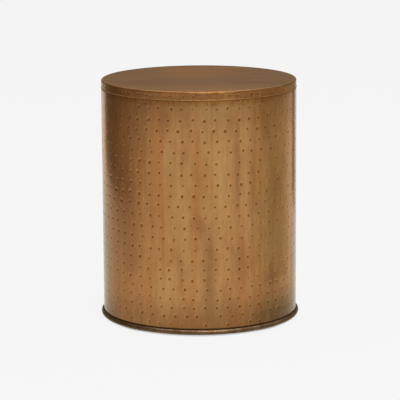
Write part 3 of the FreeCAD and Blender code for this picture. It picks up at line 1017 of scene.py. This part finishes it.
class DRUM_OT_spun_lid(Operator):
    """Make the lid: a dented skirt, a rounded edge and a spun top"""

    bl_idname = "drum_table.spun_lid"
    bl_label = "Spun lid"

    def execute(self, context):
        lid = context.scene.drum_lid
        columns = context.scene.drum_wall.round_count
        radius = LID_HIGH.x - lid.bead_proud
        girth = FULL_TURN * radius
        borders = (
            LID_LOW.z + lid.bead_height + BEAD_MARGIN,
            LID_HIGH.z - lid.edge_radius - EDGE_MARGIN,
        )

        def place(column, row):
            return column * girth / columns - 0.5 * girth, borders[row], 0.0

        bm = bmesh.new()
        add_marks(bm, "punch", "lip", "wear_and_shade")
        cells = lay_cells(bm, columns, 1, place)
        fill_cells(bm, cells, self.plan_dents(lid, cells), DENT_RINGS)
        self.add_top(bm, lid, radius, borders[1])
        self.add_underside(bm, lid, radius, borders[0])
        roll_up(bm, radius)
        bmesh.ops.remove_doubles(bm, verts=bm.verts, dist=WELD)
        self.wear(bm, lid, radius)
        material = spun_brass(context.scene.drum_finish)
        finished_piece("spun_lid", bm, "lid", "lid_cap", material)
        return {"FINISHED"}

    def plan_dents(self, lid, cells):
        """Which cells hold a dent, and how far it strays, how wide, how deep and how dark it is."""
        draw = random.Random(lid.seed)
        plans = {}
        for row, column, cell in cells:
            along = draw.uniform(*DENT_ALONG) * MM
            up = draw.uniform(*DENT_UP) * MM
            radius = lid.dent_radius * draw.uniform(*DENT_SIZES)
            depth = lid.dent_depth * draw.uniform(*DENT_DEPTHS)
            tone = draw.uniform(*DENT_TONES)
            if draw.random() <= lid.dent_share:
                plans[row, column] = (along, up, radius, depth, tone)
        return plans

    def flat_rings(self, lid, radius, height):
        """Steps inwards over the flat of the top, to the axis."""
        flat = radius - lid.edge_radius
        return [(flat * ring / TOP_RINGS - radius, height) for ring in reversed(range(TOP_RINGS))]

    def add_top(self, bm, lid, radius, border):
        """Adds the rounded edge and the top."""
        edge_start = LID_HIGH.z - lid.edge_radius
        path = [(0.0, edge_start), *quarter_round(lid.edge_radius, 0.0, edge_start, OUTER_STEPS)]
        path.append((-lid.edge_radius - lid.edge_band, LID_HIGH.z))
        path += self.flat_rings(lid, radius, LID_HIGH.z)
        grow(bm, edge_row(bm, border), path)

    def add_underside(self, bm, lid, radius, border):
        """Adds the skirt's bead, its inside and the underside of the top."""
        edge_start = LID_HIGH.z - lid.edge_radius
        bead_top = LID_LOW.z + lid.bead_height
        proud = lid.bead_proud
        soft = BEAD_ROUNDING * proud
        path = [(0.0, bead_top), (proud - soft, bead_top - soft), (proud, bead_top - 3.0 * soft)]
        path += [(proud, LID_LOW.z + 2.0 * soft), (proud - soft, LID_LOW.z), (-lid.sheet, LID_LOW.z)]
        path.append((-lid.sheet, edge_start))
        path += quarter_round(lid.edge_radius - lid.sheet, -lid.sheet, edge_start, INNER_STEPS)
        path += self.flat_rings(lid, radius, LID_HIGH.z - lid.sheet)
        grow(bm, edge_row(bm, border), path)

    def wear(self, bm, lid, radius):
        """Marks the rubbed edges and presses slow waves into the top."""
        wear_and_shade = bm.verts.layers.float["wear_and_shade"]
        flat = radius - lid.edge_radius
        rubbed_from = LID_HIGH.z - 0.6 * lid.edge_radius
        for vert in bm.verts:
            reach = vert.co.xy.length
            on_edge = vert.co.z > rubbed_from and reach > flat - 0.1 * lid.edge_band
            on_bead = reach > radius + 0.5 * lid.bead_proud
            vert[wear_and_shade] = EDGE_RUB * on_edge + BEAD_RUB * on_bead
            if vert.co.z > LID_HIGH.z - 0.5 * lid.sheet:
                inwards = held((flat - reach) / WAVE_MARGIN)
                vert.co.z -= lid.unevenness * inwards * ripple(vert, LID_WAVES)


# Bead and felts

# Steps of the bead's arc and of the full turns
ARC_STEPS = 16
BEAD_STEPS = 216
FELT_STEPS = 144

# The bead's dirt and painted shade from its crease down: how fast the crease's dark fades, and how
# painted shade darkens it again to its underside
CROWN_START = 6.4
CROWN_LEVEL = 1.9
CROWN_FALL = 4.2
UNDERSIDE_SHADE_LEVEL = 0.22

# Unevenness of the bead, as a share of its distance from the axis, and its scale
BEAD_UNEVEN = 0.0009
BEAD_SCALE = 60.0

# Unevenness of the lining, as a share of its thickness, and its scale
FELT_UNEVEN = 0.3
FELT_SCALE = 30.0

# Rings of the lining, in shares of its radius
LINING_RINGS = (0.0, 0.3, 0.6, 0.85)

# Soft edges in shares of the felt's thickness: the lining's inwards and upwards, and the ring's
LINING_EDGE = (0.4, 0.3)
SEAT_EDGE = 0.3


def lumps(place, scale):
    """Noise from 0 to 1."""
    return 0.5 + 0.5 * noise.noise(place * scale)


class DRUM_OT_foot_bead(Operator):
    """Spin the half-round bead that runs round the foot of the wall"""

    bl_idname = "drum_table.foot_bead"
    bl_label = "Foot bead"

    def execute(self, context):
        half = 0.5 * (BEAD_HIGH.z - BEAD_LOW.z)
        middle = BEAD_LOW.z + half
        back = BEAD_HIGH.x - half
        angles = [0.5 * math.pi - math.pi * step / ARC_STEPS for step in range(ARC_STEPS + 1)]
        outline = [(back + half * math.cos(angle), middle + half * math.sin(angle)) for angle in angles]
        bm = bmesh.new()
        add_marks(bm, "wear_and_shade")
        spin_outline(bm, [*outline, outline[0]], BEAD_STEPS)
        wear_and_shade = bm.verts.layers.float["wear_and_shade"]
        for vert in bm.verts:
            outwards = (vert.co.xy.length - back) / half
            down = 0.5 - math.atan2(vert.co.z - middle, half * outwards) / math.pi
            crown = min(1.0, max(UNDERSIDE_SHADE_LEVEL, CROWN_LEVEL - CROWN_FALL * down))
            # Dirt and painted shade in the crease, painted shade on the underside
            vert[wear_and_shade] = held(CROWN_START * down) * crown
            vert.co.xy *= 1.0 - BEAD_UNEVEN * lumps(vert.co, BEAD_SCALE) * outwards
        material = bead_brass(context.scene.drum_finish)
        finished_piece("foot_bead", bm, "drum", "base_bead", material)
        return {"FINISHED"}


class DRUM_OT_lid_felts(Operator):
    """Lay the felt lining under the lid's board and the felt ring that the lid stands on"""

    bl_idname = "drum_table.lid_felts"
    bl_label = "Lid felts"

    def execute(self, context):
        material = pressed_felt(context.scene.drum_finish)
        self.lining(material)
        self.seat_ring(context.scene.drum_lid, material)
        return {"FINISHED"}

    def lining(self, material):
        """A felt disc with a soft cut edge."""
        radius = LINING_HIGH.x
        low, high = LINING_LOW.z, LINING_HIGH.z
        thick = high - low
        inwards, upwards = LINING_EDGE
        outline = [(radius * share, low) for share in LINING_RINGS]
        outline += [(radius - inwards * thick, low), (radius, low + upwards * thick)]
        outline += [(radius, high), (0.0, high)]
        bm = bmesh.new()
        spin_outline(bm, outline, FELT_STEPS)
        for vert in bm.verts:
            if vert.co.z < low + 0.5 * thick:
                vert.co.z += FELT_UNEVEN * thick * lumps(vert.co, FELT_SCALE)
        piece = finished_piece("felt_lining", bm, "lid", "lid_lining", material)

    def seat_ring(self, lid, material):
        """A narrow felt ring, rounded along its lower edges."""
        low, high = SEAT_LOW.z, SEAT_HIGH.z
        outside = SEAT_HIGH.x
        inside = HOOP_HIGH.x - lid.seat_reach
        soft = SEAT_EDGE * (high - low)
        outline = [(inside, low + soft), (inside + soft, low), (outside - soft, low)]
        outline += [(outside, low + soft), (outside, high), (inside, high), (inside, low + soft)]
        bm = bmesh.new()
        spin_outline(bm, outline, FELT_STEPS)
        piece = finished_piece("felt_seat", bm, "lid", "lid_seat_felt", material)


# Inner pieces


class DRUM_OT_inner_finishes(Operator):
    """Give the board, hoop, strap, rivets, base plate, screws and feet their finishes"""

    bl_idname = "drum_table.inner_finishes"
    bl_label = "Inner finishes"

    def execute(self, context):
        colours = context.scene.drum_finish
        dulled = dulled_metal("dulled_brass", colours.inner_brass, rough=0.42, grain=120.0)
        rolled = dulled_metal("darkened_steel", colours.hoop, rough=0.45, grain=(60.0, 60.0, 700.0))
        zinc = dulled_metal("zinc_plate", colours.zinc, rough=0.34, grain=300.0)
        finishes = (
            (sanded_board(colours), ("lid_board",)),
            (rolled, ("mouth_hoop",)),
            (dulled, ("seam_strap", "seam_rivets", "mouth_rivets")),
            (satin_paint(colours), ("base_plate",)),
            (zinc, ("base_screws", "foot_washers", "foot_screws", "foot_nuts")),
            (moulded_rubber(colours), ("foot_1", "foot_2", "foot_3", "foot_4")),
        )
        for material, nodes in finishes:
            for node in nodes:
                for material_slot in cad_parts[node].material_slots:
                    material_slot.material = material
        return {"FINISHED"}


# Studio

# The floor: its size and the light that it throws back
FLOOR_RADIUS = 30.0
FLOOR_SIDES = 64
FLOOR_BOUNCE = (0.06, 0.06, 0.06)

# The shadow on it: how far it reaches, how open the sky is from shadow to full light, and the glow there
SHADOW_REACH = 30.0 * MM
SHADOW_RANGE = (0.05, 0.3)
FLOOR_GLOW = (0.0, 0.965)

# Soft boxes: name, place, diameter and power, all turned to one point of the table
SOFT_BOXES = (
    ("key_light", (0.8, -2.8, 2.2), 1.8, 45.0),
    ("top_light", (0.0, 0.4, 3.2), 2.0, 25.0),
)
LIGHT_TARGET = Vector((0.0, 0.0, 0.25))

# The studio's walls and ceiling: where they are lightest, how nearly faced, and the light they give
LIGHTEST_WAY = (0.1, -0.2, 0.97)
WAY_RANGE = (0.04, 1.0)
ROOM_LIGHT = (0.25, 0.7)
WHITE = (1.0, 1.0, 1.0)

# Cards: name, the two ends of its foot, the shares over which it fades at them, height and glow
CARDS = (
    ("left_card", (-1.5, -1.3), (-1.19, 1.43), (0.65, 0.02), 1.8, (0.25, 0.214, 0.17)),
    ("right_card", (0.5, -0.5), (0.5, 0.34), (0.48, 0.36), 0.9, (0.57, 0.54, 0.48)),
    ("back_card", (1.0, 1.0), (0.58, 0.88), (0.15, 0.1), 0.5, (0.3, 0.24, 0.15)),
    ("far_card", (-0.55, 1.7), (-0.2, 1.7), (0.2, 0.2), 0.5, (0.1, 0.09, 0.06)),
)


class DRUM_OT_studio(Operator):
    """Set up the camera, the pale floor, the soft lights and the cards"""

    bl_idname = "drum_table.studio"
    bl_label = "Studio"

    def execute(self, context):
        studio = context.scene.drum_studio
        self.camera(context, studio)
        self.floor(studio)
        self.soft_boxes(context)
        self.surroundings(context)
        self.cards()
        context.scene.view_settings.view_transform = "Standard"
        return {"FINISHED"}

    def camera(self, context, studio):
        """The camera of the photograph's view."""
        data = bpy.data.cameras.new("camera")
        data.sensor_width = studio.sensor
        data.lens = studio.lens
        camera = bpy.data.objects.new("camera", data)
        context.scene.collection.objects.link(camera)
        camera.location = (0.0, -studio.camera_distance, studio.camera_height)
        look = Euler((0.5 * math.pi - studio.camera_pitch, 0.0, studio.camera_yaw)).to_matrix()
        roll = Euler((0.0, 0.0, studio.camera_roll)).to_matrix()
        camera.rotation_euler = (look @ roll).to_euler()
        context.scene.camera = camera

    def floor(self, studio):
        """A pale paper floor that glows evenly to the eye and still takes the table's shadow."""
        paper = Paper("floor_paper")
        rays = paper.node("LightPath").outputs
        seen = paper.plus(rays["Is Camera Ray"], rays["Is Glossy Ray"])
        seen = paper.plus(seen, rays["Is Transmission Ray"])
        open_sky = paper.node("AmbientOcclusion", {"Distance": SHADOW_REACH}).outputs["AO"]
        level = paper.times(seen, paper.spread(open_sky, SHADOW_RANGE, FLOOR_GLOW))
        glow = paper.node("Emission", {"Color": studio.floor_colour, "Strength": level})
        matt = paper.node("BsdfDiffuse", {"Color": FLOOR_BOUNCE})
        paper.show(paper.node("AddShader", {0: glow.outputs[0], 1: matt.outputs[0]}))
        bm = bmesh.new()
        bmesh.ops.create_circle(bm, cap_ends=True, segments=FLOOR_SIDES, radius=FLOOR_RADIUS)
        linked_object("floor", bm, paper.material)

    def soft_boxes(self, context):
        """One soft box in front, to the right, and one above."""
        for name, place, size, power in SOFT_BOXES:
            data = bpy.data.lights.new(name, "AREA")
            data.shape = "DISK"
            data.size = size
            data.energy = power
            light = bpy.data.objects.new(name, data)
            context.scene.collection.objects.link(light)
            light.location = place
            light.rotation_euler = (LIGHT_TARGET - light.location).to_track_quat("-Z", "Y").to_euler()

    def surroundings(self, context):
        """A grey studio, lightest overhead and a little to the front and right."""
        world = bpy.data.worlds.new("studio")
        context.scene.world = world
        room = Nodes(world)
        way = room.node("TexCoord").outputs["Generated"]
        facing = room.vector("DOT_PRODUCT", way, LIGHTEST_WAY).outputs["Value"]
        background = room.tree.nodes["Background"]
        room.feed(background.inputs["Strength"], room.spread(facing, WAY_RANGE, ROOM_LIGHT))
        room.feed(background.inputs["Color"], WHITE)

    def cards(self):
        """Warm cards round the table, which only the metal's reflections see."""
        for name, start, end, fades, height, glow in CARDS:
            bm = bmesh.new()
            along = bm.verts.layers.float.new("along")
            bmesh.ops.create_grid(bm, x_segments=1, y_segments=1, size=0.5)
            for vert in bm.verts:
                vert[along] = vert.co.x + 0.5
                foot = Vector(start).lerp(Vector(end), vert[along])
                vert.co = (foot.x, foot.y, (vert.co.y + 0.5) * height)
            card = linked_object(name, bm, self.card_paper(name, fades, glow))
            card.visible_camera = False
            card.visible_diffuse = False
            card.visible_shadow = False

    def card_paper(self, name, fades, glow):
        """An even tone that fades out towards the card's two ends."""
        paper = Paper(name)
        along = paper.mark("along")
        start = paper.spread(along, (0.0, fades[0]))
        end = paper.spread(along, (1.0 - fades[1], 1.0), FADING)
        clear = paper.node("BsdfTransparent")
        lit = paper.node("Emission", {"Color": glow})
        sockets = {0: paper.times(start, end), 1: clear.outputs[0], 2: lit.outputs[0]}
        paper.show(paper.node("MixShader", sockets))
        return paper.material


# Add-on


class DRUM_PT_panel(Panel):
    """Lists the table's pieces"""

    bl_idname = "DRUM_PT_panel"
    bl_label = "Drum Side Table"
    bl_space_type = "VIEW_3D"
    bl_region_type = "UI"
    bl_category = "Drum Table"

    def draw(self, context):
        for operator in OPERATORS:
            self.layout.operator(operator.bl_idname)


SETTINGS = {
    "drum_wall": WallSettings,
    "drum_lid": LidSettings,
    "drum_finish": FinishSettings,
    "drum_studio": StudioSettings,
}
OPERATORS = (
    DRUM_OT_hammered_wall,
    DRUM_OT_spun_lid,
    DRUM_OT_foot_bead,
    DRUM_OT_lid_felts,
    DRUM_OT_inner_finishes,
    DRUM_OT_studio,
)
CLASSES = (*SETTINGS.values(), *OPERATORS, DRUM_PT_panel)


def register():
    for cls in CLASSES:
        bpy.utils.register_class(cls)
    for name, cls in SETTINGS.items():
        setattr(bpy.types.Scene, name, PointerProperty(type=cls))


def unregister():
    for name in SETTINGS:
        delattr(bpy.types.Scene, name)
    for cls in reversed(CLASSES):
        bpy.utils.unregister_class(cls)


def main():
    register()
    bpy.ops.drum_table.hammered_wall()
    bpy.ops.drum_table.spun_lid()
    bpy.ops.drum_table.foot_bead()
    bpy.ops.drum_table.lid_felts()
    bpy.ops.drum_table.inner_finishes()
    bpy.ops.drum_table.studio()


if __name__ == "__main__":
    main()
